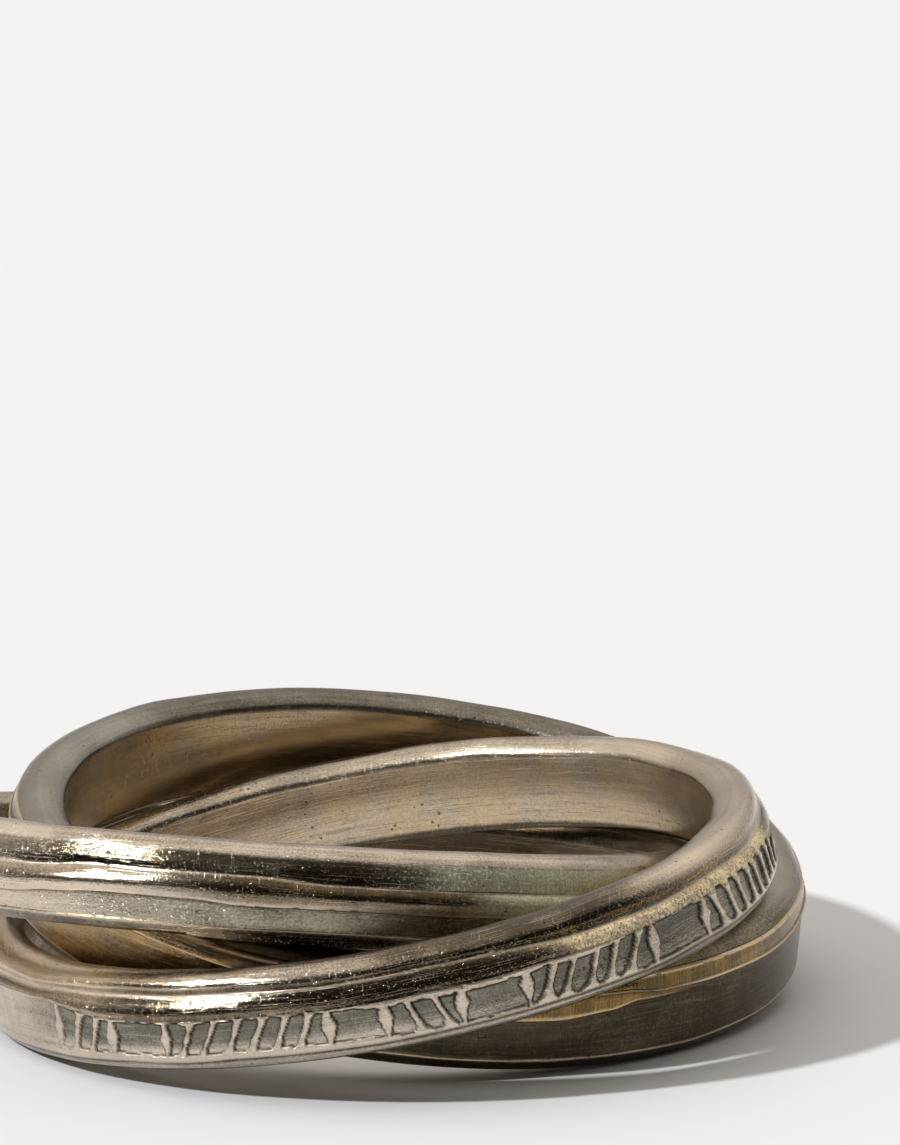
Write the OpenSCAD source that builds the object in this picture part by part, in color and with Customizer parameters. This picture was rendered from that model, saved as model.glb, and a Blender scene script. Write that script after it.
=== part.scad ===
// Rolling ring: three silver bands of nearly one size, each linked through the other two.
// Each band leans on its own low point, so the group stands on three points.
// +Z is up, and the origin is on the surface below the middle of the whole ring.

/* [Relief band] */
// Outside diameter of the band with the relief
relief_d = 22.4; // [21.8:0.1:22.8]
// Height of the band along its own axis
relief_w = 2.6; // [2.4:0.02:2.66]
// Depth of the channel that holds the relief
channel_depth = 0.17; // [0.1:0.01:0.25]
// Height of the relief above the channel's floor
relief_rise = 0.13; // [0.05:0.01:0.17]

/* [Stepped band] */
// Outside diameter of the band with two steps
stepped_d = 23.2; // [22.7:0.1:23.4]
// Height of the band along its own axis
stepped_w = 2.62; // [2.4:0.02:2.66]

/* [Broad band] */
// Outside diameter of the band with the broad lower face
broad_d = 22.4; // [22:0.1:22.8]
// Height of the band along its own axis
broad_w = 2.92; // [2.8:0.02:3]

/* [All bands] */
// Thickness of the metal from the bore to the widest point
wall = 1.58; // [1.3:0.02:1.6]
// Radius of the band's lower edges, which the ring rests on
foot_round = 0.2; // [0.1:0.01:0.25]

/* [Lean] */
// Lean of the relief band
relief_tilt = 10.2; // [10:0.1:11]
// Lean of the stepped band
stepped_tilt = 10.7; // [10:0.1:11]
// Lean of the broad band
broad_tilt = 10; // [9.5:0.1:10.5]

/* [Hidden] */

// Direction of each band's low point, from +X towards +Y
relief_low = 192;
stepped_low = 69.4;
broad_low = 310.3;

// Centre of each band, seen from above
relief_at = [0.922, -1.279];
stepped_at = [-1.367, 1.083];
broad_at = [1.81, 1.115];

// The crown of each rim
crown_drop = 0.34;
rim_inset = 0.3;
bore_round = 0.3;
foot_inset = 0.35;
lip = 0.05;

// Edges on the outside of each band, as [distance in from the outside, height]
relief_ridge = [0.24, 0.75];
relief_step = [0.03, 0.16];
relief_foot = [0, -0.78];
stepped_ridge = [0.14, 0.27];
stepped_step = [0, -0.34];
stepped_foot = [0.08, -1.02];
broad_ridge = [0.22, 1.1];
broad_step = [0.05, 0.66];
broad_foot = [0.08, -1.05];

// How far each band's lower face lies in
stepped_recess = 0.13;
broad_recess = 0.1;

// Outline of a band, from its bore to its outside, with its middle at height 0.
// The ridge, step and foot are [distance in from the outside, height].
module band_outline(outer_r, w, ridge, step, foot, depth) {
  bore_r = outer_r - wall;
  half_w = w / 2;
  rim_z = half_w - crown_drop;
  rim_r = outer_r - rim_inset;
  crown_w = rim_r - bore_r;
  crown_r = (crown_w * crown_w / 4 + crown_drop * crown_drop) / (2 * crown_drop);
  foot_r = outer_r - foot_inset;
  intersection() {
    translate([(bore_r + rim_r) / 2, half_w - crown_r]) circle(r = crown_r, $fn = 96);
    translate([bore_r, rim_z - lip]) square([crown_w, crown_drop + lip]);
  }
  polygon([
    [bore_r, -half_w + bore_round],
    [bore_r + bore_round, -half_w],
    [foot_r, -half_w],
    [foot_r + foot_round, -half_w + foot_round],
    [outer_r - foot[0], foot[1]],
    [outer_r - depth, foot[1] + lip],
    [outer_r - depth, step[1] - lip],
    [outer_r - step[0], step[1]],
    [outer_r - ridge[0], ridge[1]],
    [rim_r, rim_z],
    [bore_r, rim_z]
  ]);
  translate([bore_r + bore_round, -half_w + bore_round]) circle(r = bore_round, $fn = 48);
  translate([foot_r, -half_w + foot_round]) circle(r = foot_round, $fn = 48);
}

// Height of a leaning band's centre when its lower edge touches the surface
function centre_z(outer_r, w, tilt) =
  (outer_r - foot_inset) * sin(tilt) + (w / 2 - foot_round) * cos(tilt) + foot_round;

module leaning(at, outer_r, w, low, tilt) {
  translate([at[0], at[1], centre_z(outer_r, w, tilt)])
    rotate([0, 0, low]) rotate([0, tilt, 0]) children();
}

// The relief is runs of slanted strands, each run between two lozenges.
// Every run has its start on the band in degrees, its number of strands and their slant in mm.
runs = [
  [5, 2, -0.22], [27.5, 2, 0.18], [47, 6, 0.22], [79.5, 2, -0.2], [99.5, 5, 0.22], [132, 8, -0.2],
  [176, 2, 0.22], [195, 3, -0.2], [219, 2, 0.22], [238, 5, 0.22], [268, 2, -0.22], [287, 3, 0.2],
  [310, 6, -0.2], [344, 2, 0.22]
];
strand_pitch = 3.5;
strand_w = 0.25;
lozenge_w = 0.42;

// Turns a flat shape, width by height, into a boss that stands out of the channel
module boss(angle) {
  rotate([0, 0, angle]) translate([relief_d / 2 - wall / 2, 0, 0])
    rotate([90, 0, 90]) linear_extrude(height = wall) children();
}

module strand(slant) {
  half_w = strand_w / 2;
  polygon([
    [-half_w - slant, relief_foot[1] - lip], [half_w - slant, relief_foot[1] - lip],
    [half_w + slant, relief_step[1] + lip], [-half_w + slant, relief_step[1] + lip]
  ]);
}

module lozenge() {
  half_w = lozenge_w / 2;
  mid_z = (relief_foot[1] + relief_step[1]) / 2;
  polygon([
    [-half_w / 4, relief_foot[1] - lip], [half_w / 4, relief_foot[1] - lip], [half_w, mid_z],
    [half_w / 4, relief_step[1] + lip], [-half_w / 4, relief_step[1] + lip], [-half_w, mid_z]
  ]);
}

module relief() {
  floor_r = relief_d / 2 - channel_depth;
  intersection() {
    rotate_extrude($fn = 180)
      translate([floor_r - lip, relief_foot[1]])
        square([relief_rise + lip, relief_step[1] - relief_foot[1]]);
    for (run = runs) {
      for (i = [1:run[1]]) boss(run[0] + i * strand_pitch) strand(run[2]);
      for (i = [0, run[1] + 1]) boss(run[0] + i * strand_pitch) lozenge();
    }
  }
}

module relief_band() {
  color("silver")
    leaning(relief_at, relief_d / 2, relief_w, relief_low, relief_tilt) {
      rotate_extrude($fn = 180)
        band_outline(relief_d / 2, relief_w, ridge = relief_ridge, step = relief_step, foot = relief_foot,
                     depth = channel_depth);
      relief();
    }
}

module stepped_band() {
  color("silver")
    leaning(stepped_at, stepped_d / 2, stepped_w, stepped_low, stepped_tilt)
      rotate_extrude($fn = 180)
        band_outline(stepped_d / 2, stepped_w, ridge = stepped_ridge, step = stepped_step,
                     foot = stepped_foot, depth = stepped_recess);
}

module broad_band() {
  color("silver")
    leaning(broad_at, broad_d / 2, broad_w, broad_low, broad_tilt)
      rotate_extrude($fn = 180)
        band_outline(broad_d / 2, broad_w, ridge = broad_ridge, step = broad_step, foot = broad_foot,
                     depth = broad_recess);
}

relief_band();
stepped_band();
broad_band();
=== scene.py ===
import math
import random
import bpy
from mathutils import Matrix, Vector, noise


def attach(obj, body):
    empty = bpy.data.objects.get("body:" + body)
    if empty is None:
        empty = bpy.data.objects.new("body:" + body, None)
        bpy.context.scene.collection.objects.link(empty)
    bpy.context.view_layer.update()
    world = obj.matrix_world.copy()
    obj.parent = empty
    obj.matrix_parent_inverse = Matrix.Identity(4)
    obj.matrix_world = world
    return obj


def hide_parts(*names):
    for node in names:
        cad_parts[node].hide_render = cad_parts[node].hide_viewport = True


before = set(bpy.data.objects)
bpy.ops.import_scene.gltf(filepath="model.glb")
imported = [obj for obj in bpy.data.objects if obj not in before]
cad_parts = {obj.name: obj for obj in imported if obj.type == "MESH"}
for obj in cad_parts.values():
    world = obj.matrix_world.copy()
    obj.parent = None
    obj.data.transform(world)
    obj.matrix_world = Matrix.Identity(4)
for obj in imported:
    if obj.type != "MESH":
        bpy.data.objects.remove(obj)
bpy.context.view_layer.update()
mm = 0.001

# node helpers


def addNode(tree, kind, **settings):
    node = tree.nodes.new(kind)
    for setting, value in settings.items():
        setattr(node, setting, value)
    return node


def feed(tree, node, socket, source):   # source is a number, a colour or an output socket
    if isinstance(source, bpy.types.NodeSocket):
        tree.links.new(source, node.inputs[socket])
    else:
        node.inputs[socket].default_value = source


def mathNode(tree, operation, *sources):
    node = addNode(tree, "ShaderNodeMath", operation=operation)
    for socket, source in enumerate(sources):
        feed(tree, node, socket, source)
    return node.outputs[0]


def stretch(tree, vector, factors):
    node = addNode(tree, "ShaderNodeVectorMath", operation="MULTIPLY")
    feed(tree, node, 0, vector)
    node.inputs[1].default_value = factors
    return node.outputs[0]


def cloud(tree, vector, scale, detail, rough):
    node = addNode(tree, "ShaderNodeTexNoise")
    feed(tree, node, "Vector", vector)
    node.inputs["Scale"].default_value = scale
    node.inputs["Detail"].default_value = detail
    node.inputs["Roughness"].default_value = rough
    return node.outputs["Fac"]


def between(tree, value, low, high, outLow=0.0, outHigh=1.0):
    node = addNode(tree, "ShaderNodeMapRange", interpolation_type="SMOOTHSTEP")
    feed(tree, node, "Value", value)
    node.inputs["From Min"].default_value = low
    node.inputs["From Max"].default_value = high
    node.inputs["To Min"].default_value = outLow
    node.inputs["To Max"].default_value = outHigh
    return node.outputs["Result"]


def varied(tree, pattern, ends, amount):   # swings about 1, by the amount up and down
    return between(tree, pattern, *ends, 1 - amount, 1 + amount)


def blendColours(tree, kind, amount, first, second):
    node = addNode(tree, "ShaderNodeMix", data_type="RGBA", blend_type=kind)
    feed(tree, node, "Factor", amount)
    feed(tree, node, 6, first)   # sockets 6 and 7 are the node's colours, and output 2 is their blend
    feed(tree, node, 7, second)
    return node.outputs[2]


def attribute(tree, name, socket="Fac"):
    return addNode(tree, "ShaderNodeAttribute", attribute_name=name).outputs[socket]


def newGroup(name, inputs, outputs):
    group = bpy.data.node_groups.new(name, "ShaderNodeTree")
    for socket, kind in inputs:
        group.interface.new_socket(name=socket, in_out="INPUT", socket_type=kind)
    for socket, kind in outputs:
        group.interface.new_socket(name=socket, in_out="OUTPUT", socket_type=kind)
    return group, group.nodes.new("NodeGroupInput"), group.nodes.new("NodeGroupOutput")


def placeGroup(tree, group, **sources):
    node = addNode(tree, "ShaderNodeGroup", node_tree=group)
    for socket, source in sources.items():
        feed(tree, node, socket, source)
    return node


# node groups that the three silvers share

number, arrow = "NodeSocketFloat", "NodeSocketVector"
toMm = (1 / mm, 1 / mm, 1 / mm)


def drawnStreaks():
    # long lines round a band from filing and rolling, short nicks, and fine brushing across it:
    # how tightly the noise is packed across the band and round it, and which part of it shows
    lines = {
        "Streak": {"close": (7, 2.0, 2.0), "detail": 3.0, "rough": 0.6},
        "Hairline": {"close": (30, 6, 6), "detail": 2.0, "rough": 0.6, "cut": (0.56, 0.70)},
        "Nick": {"close": (1.1, 58, 58), "detail": 1.0, "rough": 0.5, "cut": (0.60, 0.68)},
        "Brushed": {"close": (0.9, 170, 170), "detail": 2.0, "rough": 0.6},
    }
    group, given, result = newGroup("drawnStreaks", [("Along", arrow)], [(name, number) for name in lines])
    for name, line in lines.items():
        along = stretch(group, given.outputs["Along"], line["close"])
        pattern = cloud(group, along, 1.0, line["detail"], line["rough"])
        if "cut" in line:
            pattern = between(group, pattern, *line["cut"])
        group.links.new(pattern, result.inputs[name])
    return group


def wornMarks():
    # fine grain, short scratches in no order, and pits
    grain = {"scale": 15.0, "detail": 2.0, "rough": 0.7}
    scratch = {
        "turn": (0.5, 0.9, 0.4), "close": (26, 1.6, 3.0), "detail": 2.0, "rough": 0.5, "cut": (0.63, 0.72),
    }
    pit = {   # their size changes from patch to patch, and under 0 there is none
        "cells": 4.0, "rim": (-0.02, 0.05), "size": (-0.06, 0.17),
        "patches": 1.3, "detail": 1.0, "rough": 0.5, "cut": (0.42, 0.75),
    }
    outputs = [("Grain", number), ("Scratch", number), ("Pit", number)]
    group, given, result = newGroup("wornMarks", [("Place", arrow)], outputs)
    place = stretch(group, given.outputs["Place"], toMm)
    fine = cloud(group, place, grain["scale"], grain["detail"], grain["rough"])
    turned = addNode(group, "ShaderNodeMapping")
    group.links.new(place, turned.inputs["Vector"])
    turned.inputs["Rotation"].default_value = scratch["turn"]
    turned.inputs["Scale"].default_value = scratch["close"]
    lines = cloud(group, turned.outputs["Vector"], 1.0, scratch["detail"], scratch["rough"])
    cells = addNode(group, "ShaderNodeTexVoronoi", feature="F1")
    group.links.new(place, cells.inputs["Vector"])
    cells.inputs["Scale"].default_value = pit["cells"]
    patches = cloud(group, place, pit["patches"], pit["detail"], pit["rough"])
    size = between(group, patches, *pit["cut"], *pit["size"])
    dot = mathNode(group, "SUBTRACT", cells.outputs["Distance"], size)
    group.links.new(fine, result.inputs["Grain"])
    group.links.new(between(group, lines, *scratch["cut"]), result.inputs["Scratch"])
    group.links.new(between(group, dot, *pit["rim"], 1.0, 0.0), result.inputs["Pit"])
    return group


def rubbedMask():
    # where the dark tarnish is rubbed off: the piece's own rub, which on some stretches also keeps painted
    # shade dark, broken up by streaks, blotches and grain
    blotches = {"scale": 0.8, "detail": 4.0, "rough": 0.6}
    noiseMiddle = 0.5
    inputs = [("Rub", number), ("Place", arrow), ("Streak", number), ("Grain", number)]
    inputs += [("Streakiness", number), ("Blotchiness", number), ("Graininess", number)]
    group, given, result = newGroup("rubbedMask", inputs, [("Bare", number), ("Blotch", number)])
    place = stretch(group, given.outputs["Place"], toMm)
    blotch = cloud(group, place, blotches["scale"], blotches["detail"], blotches["rough"])
    patterns = {
        "Streakiness": given.outputs["Streak"], "Blotchiness": blotch, "Graininess": given.outputs["Grain"],
    }
    total = given.outputs["Rub"]
    for amount, pattern in patterns.items():
        swing = mathNode(group, "SUBTRACT", pattern, noiseMiddle)
        swing = mathNode(group, "MULTIPLY", swing, given.outputs[amount])
        total = mathNode(group, "ADD", total, swing)
    group.links.new(between(group, total, 0.0, 1.0), result.inputs["Bare"])
    group.links.new(blotch, result.inputs["Blotch"])
    return group


# worn silver

sharedFinish = {
    "darkest": (0.02, 0.016, 0.012, 1),
    "bareRoughness": 0.08, "streakRoughness": 0.03, "cornerRoughness": 0.45,
    "filmBreak": {"Streakiness": 0.35, "Blotchiness": 0.35, "Graininess": 0.2},
    "goldPatches": (0.35, 0.6, 0.4, 1.0),   # from and to which blotch, and the least and the most gold
    # which part of the noise shows as brushing, as filing of golden tarnish and as mottling of the film
    "brushingEnds": (0.3, 0.7), "filingEnds": (0.35, 0.65),
    "mottlingEnds": (0.5, 0.9), "mottlingBlotch": 0.4,
    "speckleEnds": (0.62, 0.76), "boreGrain": 0.25,   # the bore's share of the grain
    # how much each mark stands up or goes in, as a share of the bump's height in mm
    "bumpHeight": 0.02,
    "depths": {
        "streak": 0.1, "grain": 0.75, "speckle": 0.9, "hairline": -0.2, "scratch": -0.3, "pit": -0.8,
        "nick": -1.2, "film": 0.3,
    },
}


def wearMasks(tree, finish, groups):
    # the wear that forgeBand kept on the mesh, with the painted shade and painted reflection it holds on
    # some stretches, and the patterns of the shared groups
    masks = {name: attribute(tree, name) for name in ("sunk", "grey", "satin", "corner", "outer")}
    place = addNode(tree, "ShaderNodeTexCoord").outputs["Object"]
    streaks = placeGroup(tree, groups["streaks"], Along=attribute(tree, "along", "Vector")).outputs
    marks = placeGroup(tree, groups["marks"], Place=place).outputs
    patterns = {"Place": place, "Streak": streaks["Streak"], "Grain": marks["Grain"]}
    rub, film = attribute(tree, "rub"), attribute(tree, "film")
    rubbed = placeGroup(tree, groups["rubbed"], Rub=rub, **patterns, **finish["rubBreak"]).outputs
    covered = placeGroup(tree, groups["rubbed"], Rub=film, **patterns, **finish["filmBreak"]).outputs
    goldPatches = between(tree, rubbed["Blotch"], *finish["goldPatches"])
    masks |= {name.lower(): streaks[name] for name in ("Streak", "Hairline", "Brushed")}
    masks |= {name.lower(): marks[name] for name in ("Grain", "Scratch", "Pit")}
    masks |= {"bare": rubbed["Bare"], "blotch": rubbed["Blotch"], "film": covered["Bare"]}
    masks["nick"] = mathNode(tree, "MULTIPLY", streaks["Nick"], attribute(tree, "nicked"))
    masks["gold"] = mathNode(tree, "MULTIPLY", attribute(tree, "gold"), goldPatches)
    return masks


def silverColour(tree, finish, masks):
    # dark tarnish or bare metal, golden or grey in places, then the film (on one stretch of the stepped
    # band a painted reflection), and scratches and dirt on top
    filed = varied(tree, masks["brushed"], finish["filingEnds"], finish["goldBrushing"])
    oxide = blendColours(tree, "MIX", masks["sunk"], finish["oxide"], finish["panelOxide"])
    oxide = blendColours(tree, "MIX", masks["gold"], oxide, finish["goldenOxide"])
    oxide = blendColours(tree, "MULTIPLY", masks["gold"], oxide, filed)
    metal = blendColours(tree, "MIX", masks["gold"], finish["bare"], finish["goldenBare"])
    metal = blendColours(tree, "MIX", masks["grey"], metal, finish["greyBare"])
    colour = blendColours(tree, "MIX", masks["bare"], oxide, metal)
    specks = mathNode(tree, "MULTIPLY_ADD", masks["blotch"], finish["mottlingBlotch"], masks["grain"])
    film = blendColours(tree, "MIX", masks["gold"], finish["film"], finish["goldenFilm"])
    for pattern, kind in ((masks["brushed"], "brushing"), (specks, "mottling")):
        swing = varied(tree, pattern, finish[kind + "Ends"], finish[kind])
        film = blendColours(tree, "MULTIPLY", 1.0, film, swing)
    colour = blendColours(tree, "MIX", masks["film"], colour, film)
    hairline = mathNode(tree, "MULTIPLY", masks["hairline"], masks["outer"])
    scratch = mathNode(tree, "MULTIPLY", masks["scratch"], masks["outer"])
    for mask, mark, tone in ((hairline, "hairline", "bare"), (scratch, "scratch", "bare"),
                             (masks["pit"], "pit", "darkest"), (masks["corner"], "corner", "darkest"),
                             (masks["nick"], "nick", finish["nickTone"])):
        amount = mathNode(tree, "MULTIPLY", mask, finish[mark])
        colour = blendColours(tree, "MIX", amount, colour, finish[tone])
    return colour


def silverRoughness(tree, finish, masks):
    rough = between(tree, masks["bare"], 0.0, 1.0, finish["oxideRoughness"], finish["bareRoughness"])
    for name in ("film", "satin", "streak", "corner"):
        more = mathNode(tree, "MULTIPLY", masks[name], finish[name + "Roughness"])
        rough = mathNode(tree, "ADD", rough, more)
    return rough


def silverBump(tree, finish, masks):
    grainLeft = between(tree, masks["outer"], 0.0, 1.0, finish["boreGrain"], 1.0)
    speckle = between(tree, masks["grain"], *finish["speckleEnds"])
    marks = dict(masks)
    marks["grain"] = mathNode(tree, "MULTIPLY", masks["grain"], grainLeft)
    marks["speckle"] = mathNode(tree, "MULTIPLY", speckle, masks["outer"])
    marks["film"] = mathNode(tree, "MULTIPLY", masks["film"], masks["brushed"])
    height = 0.0
    for name, depth in finish["depths"].items():
        height = mathNode(tree, "ADD", mathNode(tree, "MULTIPLY", marks[name], depth), height)
    bump = addNode(tree, "ShaderNodeBump")
    bump.inputs["Strength"].default_value = finish["bump"]
    bump.inputs["Distance"].default_value = finish["bumpHeight"] * mm
    tree.links.new(height, bump.inputs["Height"])
    return bump.outputs["Normal"]


def silver(finish, groups):
    material = bpy.data.materials.new(finish["name"])
    material.use_nodes = True
    tree = material.node_tree
    shader = tree.nodes["Principled BSDF"]
    masks = wearMasks(tree, finish, groups)
    shader.inputs["Metallic"].default_value = 1.0
    feed(tree, shader, "Base Color", silverColour(tree, finish, masks))
    feed(tree, shader, "Roughness", silverRoughness(tree, finish, masks))
    feed(tree, shader, "Normal", silverBump(tree, finish, masks))
    return material


# what the three bands share in shape

sharedForge = {
    "cornerRows": 4, "domeEnds": 0.4, "crownTopEnd": -0.05,   # the last in radians from the crown's top
    "dent": 0.03, "tap": 0.006, "nick": 0.02, "boreShare": 0.35,   # mm, and the share of it on the bore
    # waves round the band and in a mm across it, and what is added to the band's seed
    "waves": {"dent": (3.1, 0.7, 0), "tap": (13, 2.2, 0), "wander": (5, 0.6, 20), "nick": (70, 5, 0)},
    "nickEnds": (0.3, 0.7),   # which part of the noise is a nick
    "straight": ("bore", "foot", "heel"),   # forms that don't wander up and down
    "oval": [],   # from and to which degrees, and how far out in mm
    "nickedWidth": 0.06, "edgeSatin": 1.4, "leastRub": 0.02, "smoothUpTo": 42,   # the last in degrees
}
wearKinds = ("rub", "gold", "grey", "film", "satin", "sunk", "corner", "nicked", "outer")

# the outline of a band, as points of (radius, height, form) in mm


def arcPoint(middle, radius, angle):
    return middle[0] + radius * math.sin(angle), middle[1] + radius * math.cos(angle)


def curvePoint(start, corner, end, share):   # on the curve that rounds a corner
    near, far = (1 - share) ** 2, share * share
    return [near * a + (1 - near - far) * b + far * c for a, b, c in zip(start, corner, end)]


def boreRows(look):
    # up the bore, which is a little domed
    inside = look["inside"]
    low, high = look["foot"]["round"] - look["height"] / 2, look["forms"][0]["low"] - inside["cut"]
    points = []
    for i in range(inside["rows"] + 1):
        share = i / inside["rows"]
        dome = inside["bulge"] * (math.sin(math.pi * share) - look["domeEnds"])
        points.append((look["bore"] - dome, low + (high - low) * share, inside))
    return points


def crownRows(look, last):
    # over the crown, which is an arc, after the worn corner between it and the bore
    crown, bore, top = look["forms"][0], look["bore"], look["height"] / 2
    crownTop = dict(crown, name="crownTop")
    width, drop = look["outside"] - crown["inset"] - bore, top - crown["low"]
    radius = (width * width / 4 + drop * drop) / (2 * drop)
    middle, half = (bore + width / 2, top - radius), math.asin(width / 2 / radius)
    start = -half + look["inside"]["cut"] / radius
    corner, first = (bore, crown["low"]), arcPoint(middle, radius, start)
    points = []
    for i in range(1, look["cornerRows"] + 1):
        points.append((*curvePoint(last, corner, first, i / look["cornerRows"]), crownTop))
    for i in range(1, crown["rows"] + 1):
        angle = start + (half - start) * i / crown["rows"]
        form = crownTop if angle < look["crownTopEnd"] else crown
        points.append((*arcPoint(middle, radius, angle), form))
    return points


def outsideRows(look):
    # down the outside, from form to form
    last, points = look["forms"][0], []
    for form in look["forms"][1:]:
        for i in range(1, form["rows"] + 1):
            share = i / form["rows"]
            inset = last["inset"] + (form["inset"] - last["inset"]) * share
            inset -= 4 * form.get("bulge", 0) * share * (1 - share)   # the bulge is highest halfway
            height = last["low"] + (form["low"] - last["low"]) * share
            points.append((look["outside"] - inset, height, form))
        last = form
    return points


def footRows(look):
    # in along the flat foot, and round its corner with the bore
    foot, top = look["foot"], look["height"] / 2
    start, end = look["outside"] - look["forms"][-1]["inset"], look["bore"] + foot["round"]
    points = []
    for i in range(1, foot["rows"] + 1):
        points.append((start + (end - start) * i / foot["rows"], -top, foot))
    for i in range(1, look["cornerRows"]):
        angle = math.pi * (1 + i / (2 * look["cornerRows"]))
        points.append((*arcPoint((end, foot["round"] - top), foot["round"], angle), foot))
    return points


def bandOutline(look):
    points = boreRows(look)
    points += crownRows(look, points[-1])
    return points + outsideRows(look) + footRows(look)


def lastOf(points, name):   # the row at the lower end of a form
    return max(i for i, point in enumerate(points) if point[2]["name"] == name)


# shaping a band


def smooth(value, low, high):
    share = min(1.0, max(0.0, (value - low) / (high - low)))
    return share * share * (3 - 2 * share)


def onStretch(degrees, low, high):   # 1 in the middle half of a stretch of the band, and 0 from its ends
    middle, reach = (low + high) / 2, (high - low) / 2
    off = abs((degrees - middle + 180) % 360 - 180)
    return 1 - smooth(off, reach / 2, reach)


def turnBand(name, points, turns):
    joinedUnder = 0.001 * mm
    bpy.ops.object.select_all(action="DESELECT")
    bpy.ops.mesh.primitive_plane_add(size=mm, location=(points[0][0] * mm, 0, points[0][1] * mm))
    bpy.ops.object.transform_apply(location=True, rotation=True, scale=True)
    band = bpy.context.object
    band.name = name
    bpy.ops.object.mode_set(mode="EDIT")
    bpy.ops.mesh.select_all(action="SELECT")
    bpy.ops.mesh.merge(type="CENTER")   # one point, drawn on by extruding
    for last, point in zip(points, points[1:]):
        step = ((point[0] - last[0]) * mm, 0, (point[1] - last[1]) * mm)
        bpy.ops.mesh.extrude_region_move(TRANSFORM_OT_translate={"value": step})
    bpy.ops.mesh.select_all(action="SELECT")
    bpy.ops.mesh.edge_face_add()   # closes the outline
    bpy.ops.mesh.delete(type="ONLY_FACE")
    bpy.ops.object.mode_set(mode="OBJECT")
    turn = band.modifiers.new("turn", "SCREW")
    turn.steps = turn.render_steps = turns
    turn.angle = 2 * math.pi
    turn.use_merge_vertices = True
    turn.merge_threshold = joinedUnder
    turn.use_smooth_shade = True
    bpy.ops.object.modifier_apply(modifier="turn")
    bpy.ops.object.mode_set(mode="EDIT")
    bpy.ops.mesh.select_all(action="SELECT")
    bpy.ops.mesh.remove_doubles(threshold=joinedUnder)
    bpy.ops.mesh.normals_make_consistent(inside=False)
    bpy.ops.object.mode_set(mode="OBJECT")
    return band


def nearestRows(mesh, points):   # the row of the outline that each vertex was turned from
    perMm = 1000   # places are told apart to a thousandth of a mm
    rows, found = {}, []
    for vertex in mesh.vertices:
        x, y, z = vertex.co / mm
        radius = math.hypot(x, y)
        key = (round(radius * perMm), round(z * perMm))
        if key not in rows:
            gaps = [abs(point[0] - radius) + abs(point[1] - z) for point in points]
            rows[key] = gaps.index(min(gaps))
        found.append(rows[key])
    return found


def cornerWear(points, look):
    # corners that stand out are rubbed bright, most at the corner itself, all round or on one stretch
    worn = [[] for point in points]
    for name, reach, amount, *ends in look["wornEdges"]:
        corner = points[lastOf(points, name)]
        for row, point in enumerate(points):
            rub = amount * math.exp(-(math.dist(corner[:2], point[:2]) / reach) ** 2)
            if rub > look["leastRub"]:
                worn[row].append((rub, ends))
    return worn


def wearAt(look, form, turn, wornCorners):
    wear = {kind: form.get(kind, 0) for kind in wearKinds}
    wear["outer"] = float(form["name"] != "bore")
    for kind, forms, low, high, amount in look["stretches"]:
        if form["name"] in forms:
            wear[kind] += amount * onStretch(turn, low, high)
    for rub, ends in wornCorners:
        rub *= onStretch(turn, *ends) if ends else 1
        wear["rub"] = max(wear["rub"], rub)
        wear["satin"] = max(wear["satin"], rub * look["edgeSatin"])
        wear["grey"] *= 1 - rub
        wear["film"] *= 1 - rub
    return wear


def nickedRow(look, turn, pastCrown):
    # knocks lie in one row beside the crown, on some stretches of the band
    inRow = math.exp(-((pastCrown - look["nickedAt"]) / look["nickedWidth"]) ** 2)
    return inRow * max([onStretch(turn, low, high) for low, high in look["nickedStretches"]] + [0.0])


def noiseRound(angle, waves, level):   # noise that closes round the band
    return noise.noise(Vector((math.cos(angle) * waves, math.sin(angle) * waves, level)))


def unevenness(look, kind, angle, way):
    perTurn, perMm, added = look["waves"][kind]
    return noiseRound(angle, perTurn, way * perMm + look["seed"] + added)


def hammered(look, name, angle, turn, way):
    # how far hammer, file and knocks move a point outward and upward, in mm
    outward = look["dent"] * unevenness(look, "dent", angle, way)
    outward += look["tap"] * unevenness(look, "tap", angle, way)
    if name == "bore":
        outward *= look["boreShare"]
    for low, high, amount in look["oval"]:
        outward += amount * onStretch(turn, low, high)
    if name in look["nickedForms"]:
        outward -= look["nick"] * smooth(unevenness(look, "nick", angle, way), *look["nickEnds"])
    upward = 0.0 if name in look["straight"] else look["wander"] * unevenness(look, "wander", angle, way)
    return outward, upward


def strandsByDegree(relief):
    # for each degree of the band, the strands and lozenges that reach it
    dice = random.Random(relief["seed"])
    nearby = [[] for degree in range(360)]
    for start, strands, slant in relief["runs"]:
        for i in range(strands + 2):
            kind = "lozenge" if i in (0, strands + 1) else "strand"
            place = start + i * relief["pitch"] + dice.uniform(*relief["astray"])
            width = relief[kind] * dice.uniform(*relief["widths"])
            bit = (place, kind, slant * dice.uniform(*relief["slants"]), width)
            for degree in range(int(place) - relief["reach"], int(place) + relief["reach"] + 1):
                nearby[degree % 360].append(bit)
    return nearby


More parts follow.
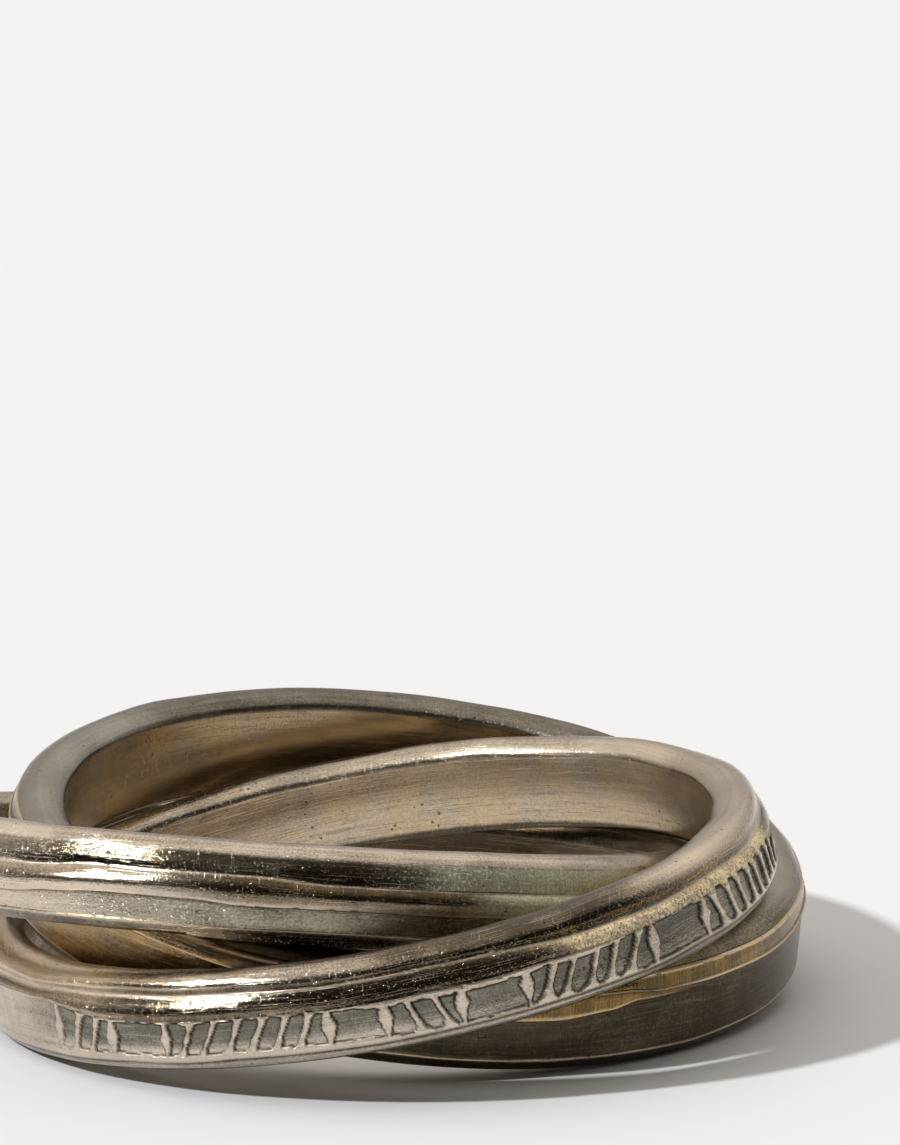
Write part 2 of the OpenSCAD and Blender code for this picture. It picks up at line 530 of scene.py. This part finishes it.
def reliefEdge(look, angle, z):
    # how far, in mm, a place in the channel is from the nearest metal, and below 0 on the metal
    relief = look["relief"]
    degrees = math.degrees(angle) % 360
    raggedRound, raggedUp = relief["raggedWaves"]
    ragged = relief["ragged"] * noiseRound(angle, raggedRound, z * raggedUp)
    top = relief["top"] + relief["wander"] * noiseRound(angle, relief["wanderWaves"], relief["topSeed"])
    foot = relief["low"] + relief["wander"] * noiseRound(angle, relief["wanderWaves"], relief["footSeed"])
    for low, high, topBend, footBend in relief["bends"]:
        bend = onStretch(degrees + look["lowSide"], low, high)
        top, foot = top + topBend * bend, foot + footBend * bend
    gap = min(top - z, z - foot)
    share = (z - (relief["top"] + relief["low"]) / 2) / ((relief["top"] - relief["low"]) / 2)
    for place, kind, slant, width in relief["nearby"][int(degrees) % 360]:
        off = (degrees - place + 180) % 360 - 180
        across = math.radians(off) * look["outside"]
        if kind == "strand":
            across -= slant * share
            width *= relief["waist"] + relief["flare"] * share ** 4   # wide at both ends
        else:
            width *= max(relief["tip"], 1 - abs(share) * (1 - relief["tip"]))   # pointed at both ends
        gap = min(gap, abs(across) - width / 2)
    return gap + ragged


def inChannel(look, name, z):
    below, above = look["relief"]["margins"]
    return name != "bore" and look["relief"]["low"] - below < z < look["relief"]["top"] + above


def sinkChannel(look, angle, turn, z, wear):
    # how deep, in mm, the floor between the strands lies; it ramps up at its foot. Its tarnish, the dirt
    # where it meets the metal, the polish on the metal's lips and the floor's lighter band towards its
    # foot, partly rubbed polish and partly a painted reflection of the lit floor, go into wear
    relief = look["relief"]
    gap, wall = reliefEdge(look, angle, z), relief["wallW"]
    left = 1 - relief["wornShare"] * onStretch(turn, *relief["wornAway"])
    sunk = smooth(gap, relief["wallStart"], wall) * left
    rise = 1 - smooth(z - relief["low"], relief["rampStart"], relief["rampW"])
    dirtFull, dirtThins, dirtEnds = [wall * share for share in relief["dirt"]]
    wear["corner"] = smooth(gap, relief["wallStart"], dirtFull) * left * left
    wear["corner"] *= 1 - smooth(gap, dirtThins, dirtEnds)
    lip = smooth(gap, *relief["lipIn"]) * (1 - smooth(gap, *relief["lipOut"])) * left
    wear["satin"] = max(wear["satin"], relief["lipSatin"] * lip)
    # partly painted reflection: the floor is rubbed lighter towards its foot, most from 150 to 296 degrees
    ramp = relief["rampLeast"] + (1 - relief["rampLeast"]) * onStretch(turn, *relief["rampWorn"])
    wear["rub"] += (relief["floorRub"] + relief["rampRubAndSheen"] * ramp * rise - wear["rub"]) * sunk
    wear["gold"] *= 1 - sunk
    wear["film"] *= 1 - sunk
    wear["sunk"] = sunk
    return relief["depth"] * sunk * (1 - relief["rampH"] * rise)


def forgeBand(band, look, points):
    # moves each point a little, as hammer and file leave a band, and keeps its wear, painted shade and
    # painted reflection for the material
    mesh = band.data
    worn = cornerWear(points, look)
    ways = [0.0]   # how far along the outline each of its points is
    for last, point in zip(points, points[1:]):
        ways.append(ways[-1] + math.dist(last[:2], point[:2]))
    crownEnd = ways[lastOf(points, "crown")]
    moves = [(ways[lastOf(points, name)], *move) for name, *move in look["moves"]]
    kept = {kind: [] for kind in wearKinds}
    along = []
    for vertex, row in zip(mesh.vertices, nearestRows(mesh, points)):
        x, y, z = vertex.co / mm
        form, way = points[row][2], ways[row]
        angle = math.atan2(y, x)
        turn = (math.degrees(angle) + look["lowSide"]) % 360
        wear = wearAt(look, form, turn, worn[row])
        outward, upward = hammered(look, form["name"], angle, turn, way)
        for at, above, below, low, high, up, out in moves:
            share = max(0.0, 1 - (at - way) / above if way < at else 1 - (way - at) / below)
            share *= onStretch(turn, low, high)
            upward += up * share
            outward += out * share
        if "relief" in look and inChannel(look, form["name"], z):
            outward -= sinkChannel(look, angle, turn, z, wear)
        wear["nicked"] = nickedRow(look, turn, way - crownEnd)
        cosine, sine = math.cos(angle), math.sin(angle)
        vertex.co += Vector((outward * cosine, outward * sine, upward)) * mm
        along += (way, cosine, sine)
        for kind in wearKinds:
            kept[kind].append(wear[kind])
    mesh.attributes.new("along", "FLOAT_VECTOR", "POINT").data.foreach_set("vector", along)
    for kind in wearKinds:
        mesh.attributes.new(kind, "FLOAT", "POINT").data.foreach_set("value", kept[kind])


def leanBand(band, look):
    # the band leans on its low side and stands at its centre
    lowSide = Matrix.Rotation(math.radians(look["lowSide"]), 4, "Z")
    turned = lowSide @ Matrix.Rotation(math.radians(look["lean"]), 4, "Y")
    band.data.transform(Matrix.Translation(Vector(look["centre"]) * mm) @ turned)
    band.data.update()


def finishBand(band, look, material):
    bpy.ops.object.select_all(action="DESELECT")
    band.select_set(True)
    bpy.context.view_layer.objects.active = band
    bpy.ops.object.shade_smooth_by_angle(angle=math.radians(look["smoothUpTo"]))
    band.data.materials.clear()
    band.data.materials.append(material)
    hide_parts(look["node"])
    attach(band, look["node"])


def makeBand(name, look, groups):
    material = silver(look["finish"], groups)
    points = bandOutline(look)
    band = turnBand(name, points, look["turns"])
    if "relief" in look:
        look["relief"]["nearby"] = strandsByDegree(look["relief"])
    forgeBand(band, look, points)
    leanBand(band, look)
    finishBand(band, look, material)
    print(name, 2 * len(band.data.polygons), "triangles")


# the three bands: sizes are in mm, and degrees go from +X towards +Y


def reliefBand(groups):
    look = {
        **sharedForge, "node": "relief_band", "slot": "worn_silver",
        "centre": (0.922, -1.279, 3.204), "lowSide": 192, "lean": 10.2,
        "outside": 11.2, "bore": 9.62, "height": 2.6, "turns": 1500,
        "inside": dict(name="bore", rows=4, bulge=0.05, cut=0.13, rub=0.72, gold=0.75, satin=0.7),
        "foot": dict(name="foot", rows=3, round=0.3, rub=0.5, gold=0.2),
        # each form ends so far in from the outside and so high, has so many rows, and is worn so much
        "forms": [
            dict(name="crown", inset=0.30, low=0.96, rows=9, rub=0.52, gold=0.2, satin=0.2),
            dict(name="groove", inset=0.285, low=0.84, rows=2, rub=0.15, gold=0.4),
            dict(name="ridge", inset=0.26, low=0.76, rows=2, rub=0.45, gold=0.4),
            dict(name="facet", inset=0.05, low=0.18, bulge=0.045, rows=7, rub=0.2, gold=0.4),
            dict(name="edge", inset=0.02, low=0.13, rows=1, rub=0.55, gold=0.3),
            dict(name="channel", inset=0.0, low=-0.84, rows=22, rub=0.75, gold=0.1, satin=0.5),
            dict(name="footRidge", inset=0.02, low=-0.90, rows=1, rub=0.75, gold=0.1),
            dict(name="footFacet", inset=0.07, low=-0.97, rows=1, rub=0.6, gold=0.1),
            dict(name="footGroove", inset=0.105, low=-1.0, rows=1, rub=0.1, gold=0.1),
            dict(name="footFacet", inset=0.20, low=-1.17, bulge=0.02, rows=2, rub=0.6, gold=0.1),
            dict(name="heel", inset=0.32, low=-1.27, rows=2, rub=0.4, gold=0.1),
        ],
        # below which form, how wide, how much, and from and to which degrees if not all round
        "wornEdges": [("ridge", 0.035, 1.0), ("edge", 0.045, 1.0), ("footRidge", 0.08, 0.9)],
        "wander": 0.06, "seed": 1.7, "nickedForms": ("ridge", "edge"),
        "nickedStretches": [(238, 262)], "nickedAt": 0.3,   # how far past the crown
        # what changes, on which forms, from and to which degrees, and by how much
        "stretches": [
            ("film", ("facet",), 290, 360, 1.15), ("gold", ("facet", "edge", "groove"), 285, 370, 0.5),
            ("gold", ("crown", "crownTop"), 180, 245, 0.6), ("rub", ("crown", "crownTop"), 160, 235, 0.5),
            ("satin", ("crown", "crownTop"), 180, 236, 0.35), ("satin", ("crownTop",), 190, 300, 0.35),
            ("satin", ("crownTop",), 20, 125, 0.8), ("rub", ("facet",), 240, 290, 0.15),
            ("rub", ("crown", "groove", "ridge", "facet"), 185, 236, 0.3),
            ("rub", ("facet",), 255, 290, -0.15), ("rub", ("crown",), 262, 322, -0.42),
            ("rub", ("crownTop",), 222, 300, -0.35), ("rub", ("crownTop", "crown"), 302, 425, 0.32),
            ("rub", ("foot",), 0, 120, -0.6),
        ],
        # from the end of which form, how far above and below it, from and to which degrees, and how far
        # up and out
        "moves": [
            ("ridge", 0.3, 0.5, 285, 370, -0.24, 0), ("edge", 0.6, 0.8, 150, 232, 0.42, 0),
            ("crownTop", 0.8, 0.8, 300, 400, -0.06, 0), ("ridge", 0.45, 0.4, 214, 258, 0, -0.12),
        ],
        "relief": {
            "top": 0.14, "low": -0.76, "depth": 0.09, "margins": (0.25, 0.2),   # beyond its foot and top
            "wander": 0.05, "wanderWaves": 16, "topSeed": 4.1, "footSeed": 8.3,
            "ragged": 0.05, "raggedWaves": (48, 5),   # round the band, and in a mm up it
            # from and to which degrees, and how far the channel's top and foot move
            "bends": [(262, 312, -0.14, 0), (258, 350, 0, -0.12), (322, 352, 0.08, 0)],
            # wall, dirt and lip by their distance from the metal, the dirt's in widths of the wall
            "wallStart": -0.01, "wallW": 0.035, "dirt": (0.6, 0.9, 2.2),
            "lipIn": (-0.09, -0.02), "lipOut": (0.05, 0.1), "lipSatin": 1.8,
            "floorRub": 0.15, "rampStart": 0.02, "rampW": 0.4, "rampH": 0.15,
            # partly painted reflection: how much lighter the floor is rubbed towards its foot, the least
            # share of it, and on which degrees it is most
            "rampRubAndSheen": 0.6, "rampLeast": 0.4, "rampWorn": (150, 296),
            "wornAway": (150, 226), "wornShare": 0.85,
            "strand": 0.2, "waist": 0.8, "flare": 0.8, "lozenge": 0.36, "tip": 0.25,
            # each strand or lozenge in degrees from the last, give or take, and how far it can reach;
            # then the shares that its width and slant vary by
            "pitch": 3.5, "astray": (-0.3, 0.3), "reach": 3, "widths": (0.75, 1.2), "slants": (0.85, 1.15),
            "seed": 4,
            # start in degrees from the low side, strands between its two lozenges, and slant
            "runs": [
                (5, 2, -0.22), (27.5, 2, 0.18), (47, 6, 0.22), (79.5, 2, -0.2), (99.5, 5, 0.22),
                (132, 8, -0.2), (176, 2, 0.22), (195, 3, -0.2), (219, 2, 0.22), (238, 5, 0.22),
                (268, 2, -0.22), (287, 3, 0.2), (310, 6, -0.2), (344, 2, 0.22),
            ],
        },
        "finish": {
            **sharedFinish, "name": "rubbedSilver",
            "bare": (0.72, 0.63, 0.52, 1), "goldenBare": (0.64, 0.48, 0.28, 1),
            "greyBare": (0.4, 0.4, 0.38, 1),
            "oxide": (0.075, 0.064, 0.048, 1), "goldenOxide": (0.17, 0.11, 0.045, 1),
            "panelOxide": (0.13, 0.125, 0.10, 1), "film": (0.68, 0.60, 0.47, 1),
            "goldenFilm": (0.82, 0.67, 0.45, 1), "nickTone": "darkest",
            "oxideRoughness": 0.09, "satinRoughness": 0.22, "filmRoughness": 0.5,
            "rubBreak": {"Streakiness": 0.6, "Blotchiness": 0.6, "Graininess": 0.8},
            "brushing": 0.1, "goldBrushing": 0.3, "mottling": 0.5,
            "hairline": 0.3, "scratch": 0.2, "pit": 0.6, "corner": 0.75, "nick": 0.8, "bump": 0.58,
        },
    }
    makeBand("reliefBand", look, groups)


def steppedBand(groups):
    look = {
        **sharedForge, "node": "stepped_band", "slot": "oxidised_silver",
        "centre": (-1.367, 1.083, 3.379), "lowSide": 69.4, "lean": 10.7,
        "outside": 11.6, "bore": 10.02, "height": 2.62, "turns": 1200,
        "inside": dict(name="bore", rows=5, bulge=0.05, cut=0.13, rub=0.7, gold=0.75, satin=0.7),
        "foot": dict(name="foot", rows=4, round=0.3, rub=0.45, gold=0.2),
        "forms": [
            dict(name="crown", inset=0.34, low=0.97, rows=10, rub=0.6, gold=0.1, satin=0.2),
            dict(name="facet", inset=0.16, low=0.32, bulge=0.025, rows=8, rub=0.12, gold=0.3),
            dict(name="ridge", inset=0.14, low=0.26, rows=2, rub=0.5, gold=0.3),
            dict(name="lowerFacet", inset=0.0, low=-0.04, bulge=0.025, rows=6, rub=0.25, gold=0.4),
            dict(name="hem", inset=0.035, low=-0.34, bulge=0.01, rows=4, rub=0.5, gold=0.3, satin=0.2),
            dict(name="step", inset=0.05, low=-0.38, rows=1, rub=0.5, gold=0.1),
            dict(name="undercut", inset=0.12, low=-0.41, rows=1, rub=0.0, gold=0.2),
            dict(name="face", inset=0.17, low=-0.97, rows=7, rub=0.42, gold=0.3, satin=0.4, film=0.35),
            dict(name="footRidge", inset=0.08, low=-1.02, rows=2, rub=0.7, gold=0.1),
            dict(name="heel", inset=0.30, low=-1.27, rows=3, rub=0.3, gold=0.1),
        ],
        "wornEdges": [
            ("ridge", 0.045, 0.55), ("ridge", 0.045, 1.0, 170, 236), ("step", 0.07, 1.0),
            ("footRidge", 0.05, 0.85),
        ],
        "wander": 0.025, "seed": 7.3, "nickedForms": ("ridge", "step"),
        "nickedStretches": [(284, 325), (205, 225)], "nickedAt": 0.03,
        "stretches": [
            ("rub", ("face", "hem"), 190, 262, 0.4), ("film", ("face",), 190, 250, -0.4),
            ("rub", ("lowerFacet",), 190, 250, 0.3), ("rub", ("crown", "facet", "ridge"), 190, 240, 0.35),
            ("satin", ("crown", "facet"), 185, 238, 0.6), ("rub", ("lowerFacet",), 250, 308, -0.42),
            ("rub", ("hem",), 250, 308, -0.1), ("gold", ("lowerFacet", "hem"), 254, 330, 0.5),
            ("satin", ("crownTop",), 20, 160, 0.6), ("film", ("facet",), 275, 362, 0.95),
            # painted shade: the rub cuts on the next line darken the face, foot ridge and heel on the front
            # right, where this band lies in shade under the others
            ("rub", ("face", "footRidge", "heel"), 278, 350, -0.6), ("rub", ("face",), 262, 340, -0.2),
            # painted reflection: the light film on the lower facet and hem here brightens them in place of
            # their mirroring of the relief band's lit crown
            ("film", ("lowerFacet", "hem"), 288, 356, 1.0), ("satin", ("lowerFacet", "hem"), 288, 356, 0.6),
            ("rub", ("lowerFacet",), 232, 284, 0.25), ("satin", ("lowerFacet",), 232, 284, 0.4),
            # painted shade: the rub cut on the crown from 12 to 96 degrees keeps the back of the crown dark
            # where it lies in shade under the relief band
            ("satin", ("hem",), 244, 330, 0.5), ("rub", ("crownTop", "crown"), 12, 96, -0.45),
            ("satin", ("crownTop", "crown"), 12, 96, 0.5),
        ],
        "moves": [
            ("ridge", 0.5, 0.5, 232, 276, 0.13, 0), ("step", 0.5, 0.6, 236, 264, 0.09, 0),
            ("step", 0.5, 0.6, 208, 236, -0.12, 0), ("heel", 0.2, 2.0, 252, 312, -0.075, 0),
            ("crown", 0.5, 1.0, 216, 254, 0, -0.09), ("ridge", 0.3, 0.4, 216, 254, 0, -0.06),
        ],
        "finish": {
            **sharedFinish, "name": "oxidisedSilver",
            "bare": (0.72, 0.63, 0.52, 1), "goldenBare": (0.62, 0.49, 0.34, 1),
            "greyBare": (0.4, 0.4, 0.38, 1),
            "oxide": (0.085, 0.072, 0.05, 1), "goldenOxide": (0.14, 0.095, 0.045, 1),
            "panelOxide": (0.1, 0.1, 0.085, 1), "film": (0.63, 0.635, 0.48, 1),
            "goldenFilm": (0.62, 0.59, 0.41, 1), "nickTone": "bare",
            "oxideRoughness": 0.09, "satinRoughness": 0.22, "filmRoughness": 0.34,
            "rubBreak": {"Streakiness": 0.6, "Blotchiness": 0.6, "Graininess": 0.8},
            "brushing": 0.06, "goldBrushing": 0.3, "mottling": 0.25,
            "hairline": 0.25, "scratch": 0.25, "pit": 0.7, "corner": 0.8, "nick": 0.9, "bump": 0.47,
        },
    }
    makeBand("steppedBand", look, groups)


def broadBand(groups):
    look = {
        **sharedForge, "node": "broad_band", "slot": "dark_silver",
        "centre": (1.81, 1.115, 3.325), "lowSide": 310.3, "lean": 10.0,
        "outside": 11.2, "bore": 9.62, "height": 2.92, "turns": 1200,
        "inside": dict(name="bore", rows=6, bulge=0.05, cut=0.13, rub=0.6, gold=0.8, satin=0.7),
        "foot": dict(name="foot", rows=4, round=0.3, rub=0.4, gold=0.2),
        "forms": [
            dict(name="crown", inset=0.28, low=1.17, rows=10, rub=0.34, gold=0.1, grey=0.75, satin=0.4),
            dict(name="groove", inset=0.30, low=1.15, rows=1, rub=0.1, gold=0.7),
            dict(name="ridge", inset=0.21, low=1.10, rows=2, rub=0.7, gold=0.5),
            dict(name="facet", inset=0.12, low=0.70, bulge=0.01, rows=7, rub=0.06, gold=1.0),
            dict(name="edge", inset=0.05, low=0.655, rows=2, rub=0.6, gold=0.5),
            dict(name="lowerFacet", inset=0.10, low=0.60, rows=1, rub=0.1, gold=0.2),
            dict(name="lowerFacet", inset=0.09, low=0.32, rows=4, rub=0.05, gold=0.2, satin=0.3),
            dict(name="face", inset=0.095, low=0.26, rows=1, rub=0.05, gold=0.15, satin=0.5),
            dict(name="face", inset=0.09, low=-1.0, rows=10, rub=0.05, gold=0.15, satin=0.5),
            dict(name="footRidge", inset=0.08, low=-1.05, rows=1, rub=0.7, gold=0.6),
            dict(name="heel", inset=0.30, low=-1.38, rows=4, rub=0.05, gold=0.1),
        ],
        "wornEdges": [
            ("ridge", 0.05, 1.0), ("edge", 0.05, 1.0), ("footRidge", 0.035, 0.9),
            ("lowerFacet", 0.04, 1.0, 268, 316),
        ],
        "wander": 0.05, "seed": 13.1, "oval": [(318, 402, 0.05)], "nickedForms": ("ridge", "edge"),
        "nickedStretches": [], "nickedAt": 0,
        "stretches": [
            ("rub", ("facet", "lowerFacet", "face"), 176, 256, 0.38),
            ("gold", ("face", "lowerFacet"), 180, 262, 0.8), ("rub", ("crown", "crownTop"), 130, 215, 0.35),
            # painted shade: the rub cut on the crown from 225 to 300 degrees darkens it where it lies in
            # shade behind and between the other two bands
            ("rub", ("crown", "crownTop"), 225, 300, -0.3), ("gold", ("lowerFacet",), 268, 316, 1.0),
            ("rub", ("lowerFacet",), 268, 316, 0.1), ("satin", ("crownTop",), 20, 160, 0.5),
            ("rub", ("crown", "crownTop", "ridge"), 338, 388, 0.4),
            ("film", ("crown", "crownTop"), 286, 348, 0.9), ("film", ("facet",), 306, 356, 0.2),
        ],
        "moves": [
            ("crownTop", 0.8, 0.8, 222, 302, 0.07, 0), ("ridge", 0.4, 0.9, 222, 268, -0.2, 0),
            ("edge", 0.35, 0.3, 285, 309, 0.16, 0), ("lowerFacet", 0.35, 0.03, 266, 314, 0, 0.045),
            ("lowerFacet", 0.3, 0.8, 258, 302, -0.2, 0), ("lowerFacet", 0.3, 0.8, 300, 320, 0.2, 0),
        ],
        "finish": {
            **sharedFinish, "name": "darkSilver",
            "bare": (0.70, 0.60, 0.47, 1), "goldenBare": (0.67, 0.475, 0.24, 1),
            "greyBare": (0.33, 0.335, 0.315, 1), "oxide": (0.075, 0.064, 0.045, 1),
            "goldenOxide": (0.15, 0.09, 0.027, 1), "panelOxide": (0.08, 0.08, 0.065, 1),
            "film": (0.24, 0.215, 0.15, 1), "goldenFilm": (0.30, 0.225, 0.12, 1), "nickTone": "darkest",
            "oxideRoughness": 0.12, "satinRoughness": 0.2, "filmRoughness": 0.24,
            "rubBreak": {"Streakiness": 0.4, "Blotchiness": 0.4, "Graininess": 0.6},
            "brushing": 0.12, "goldBrushing": 0.4, "mottling": 0.5,
            "hairline": 0.12, "scratch": 0.12, "pit": 0.7, "corner": 0.8, "nick": 0.6, "bump": 0.4,
        },
    }
    makeBand("broadBand", look, groups)


# camera, floor and light


def lookFrom(thing, place, aim):
    thing.location = place
    thing.rotation_euler = (Vector(aim) - Vector(place)).to_track_quat("-Z", "Y").to_euler()


def addCamera():
    view = {
        "stand": (0.93, -243.02, 61.54), "aim": (3.07, 1.4, 11.74), "lens": 359.4, "sensor": 36,   # mm
        "nearest": 0.01, "farthest": 100,   # m
    }
    camera = bpy.data.cameras.new("photoCamera")
    camera.sensor_fit = "HORIZONTAL"
    camera.sensor_width = view["sensor"]
    camera.lens = view["lens"]
    camera.clip_start = view["nearest"]
    camera.clip_end = view["farthest"]
    cameraObject = bpy.data.objects.new("photoCamera", camera)
    bpy.context.scene.collection.objects.link(cameraObject)
    lookFrom(cameraObject, Vector(view["stand"]) * mm, Vector(view["aim"]) * mm)
    bpy.context.scene.camera = cameraObject
    bpy.context.scene.view_settings.view_transform = "Standard"


def addFloor():
    floorLook = {
        "size": 12.0,   # m
        "colour": (0.786, 0.80, 0.822, 1), "roughness": 0.6, "shine": 0.2,
    }
    bpy.ops.object.select_all(action="DESELECT")
    bpy.ops.mesh.primitive_plane_add(size=floorLook["size"], location=(0, 0, 0))
    floor = bpy.context.object
    floor.name = "floor"
    paper = bpy.data.materials.new("paleFloor")
    paper.use_nodes = True
    shader = paper.node_tree.nodes["Principled BSDF"]
    shader.inputs["Base Color"].default_value = floorLook["colour"]
    shader.inputs["Roughness"].default_value = floorLook["roughness"]
    shader.inputs["Specular IOR Level"].default_value = floorLook["shine"]
    floor.data.materials.append(paper)


def addSun():
    sunLook = {
        "strength": 2.75, "colour": (0.98, 0.99, 1.0), "distance": 0.5,   # m
        "softness": 4, "height": 41, "fromSide": 203,   # degrees
    }
    sun = bpy.data.lights.new("keyLight", "SUN")
    sun.energy = sunLook["strength"]
    sun.angle = math.radians(sunLook["softness"])
    sun.color = sunLook["colour"]
    sunObject = bpy.data.objects.new("keyLight", sun)
    bpy.context.scene.collection.objects.link(sunObject)
    height, side = math.radians(sunLook["height"]), math.radians(sunLook["fromSide"])
    level = math.cos(height)
    towards = Vector((math.cos(side) * level, math.sin(side) * level, math.sin(height)))
    lookFrom(sunObject, towards * sunLook["distance"], (0, 0, 0))


def addSky():
    skyLook = {
        "strength": 0.95, "colour": (1.0, 0.94, 0.87, 1),
        # brightness by height above the horizon, on the camera's side and on the side behind the ring
        "front": [(0.0, 0.10), (0.25, 0.05), (0.60, 0.055), (0.84, 0.55), (1.0, 1.35)],
        "back": [(0.0, 0.40), (0.30, 0.50), (0.70, 1.0), (1.0, 1.15)],
        "seam": (-0.35, 0.45),   # where the front begins to turn into the back, and where it has
    }
    world = bpy.data.worlds.new("studio")
    bpy.context.scene.world = world
    world.use_nodes = True
    tree = world.node_tree
    background = tree.nodes["Background"]
    split = addNode(tree, "ShaderNodeSeparateXYZ")
    feed(tree, split, "Vector", addNode(tree, "ShaderNodeTexCoord").outputs["Generated"])
    sides = []
    for side in ("front", "back"):
        ramp = addNode(tree, "ShaderNodeValToRGB")
        feed(tree, ramp, "Fac", split.outputs["Z"])
        steps = ramp.color_ramp.elements
        for i, (height, bright) in enumerate(skyLook[side]):
            step = steps[i] if i < 2 else steps.new(height)   # a new ramp has two steps
            step.position = height
            step.color = (bright, bright, bright, 1)
        sides.append(ramp.outputs["Color"])
    light = blendColours(tree, "MIX", between(tree, split.outputs["Y"], *skyLook["seam"]), *sides)
    feed(tree, background, "Color", blendColours(tree, "MULTIPLY", 1.0, light, skyLook["colour"]))
    background.inputs["Strength"].default_value = skyLook["strength"]


addCamera()
addFloor()
addSun()
addSky()
print("stage ready")
sharedGroups = {"streaks": drawnStreaks(), "marks": wornMarks(), "rubbed": rubbedMask()}
print("node groups ready")
reliefBand(sharedGroups)
steppedBand(sharedGroups)
broadBand(sharedGroups)
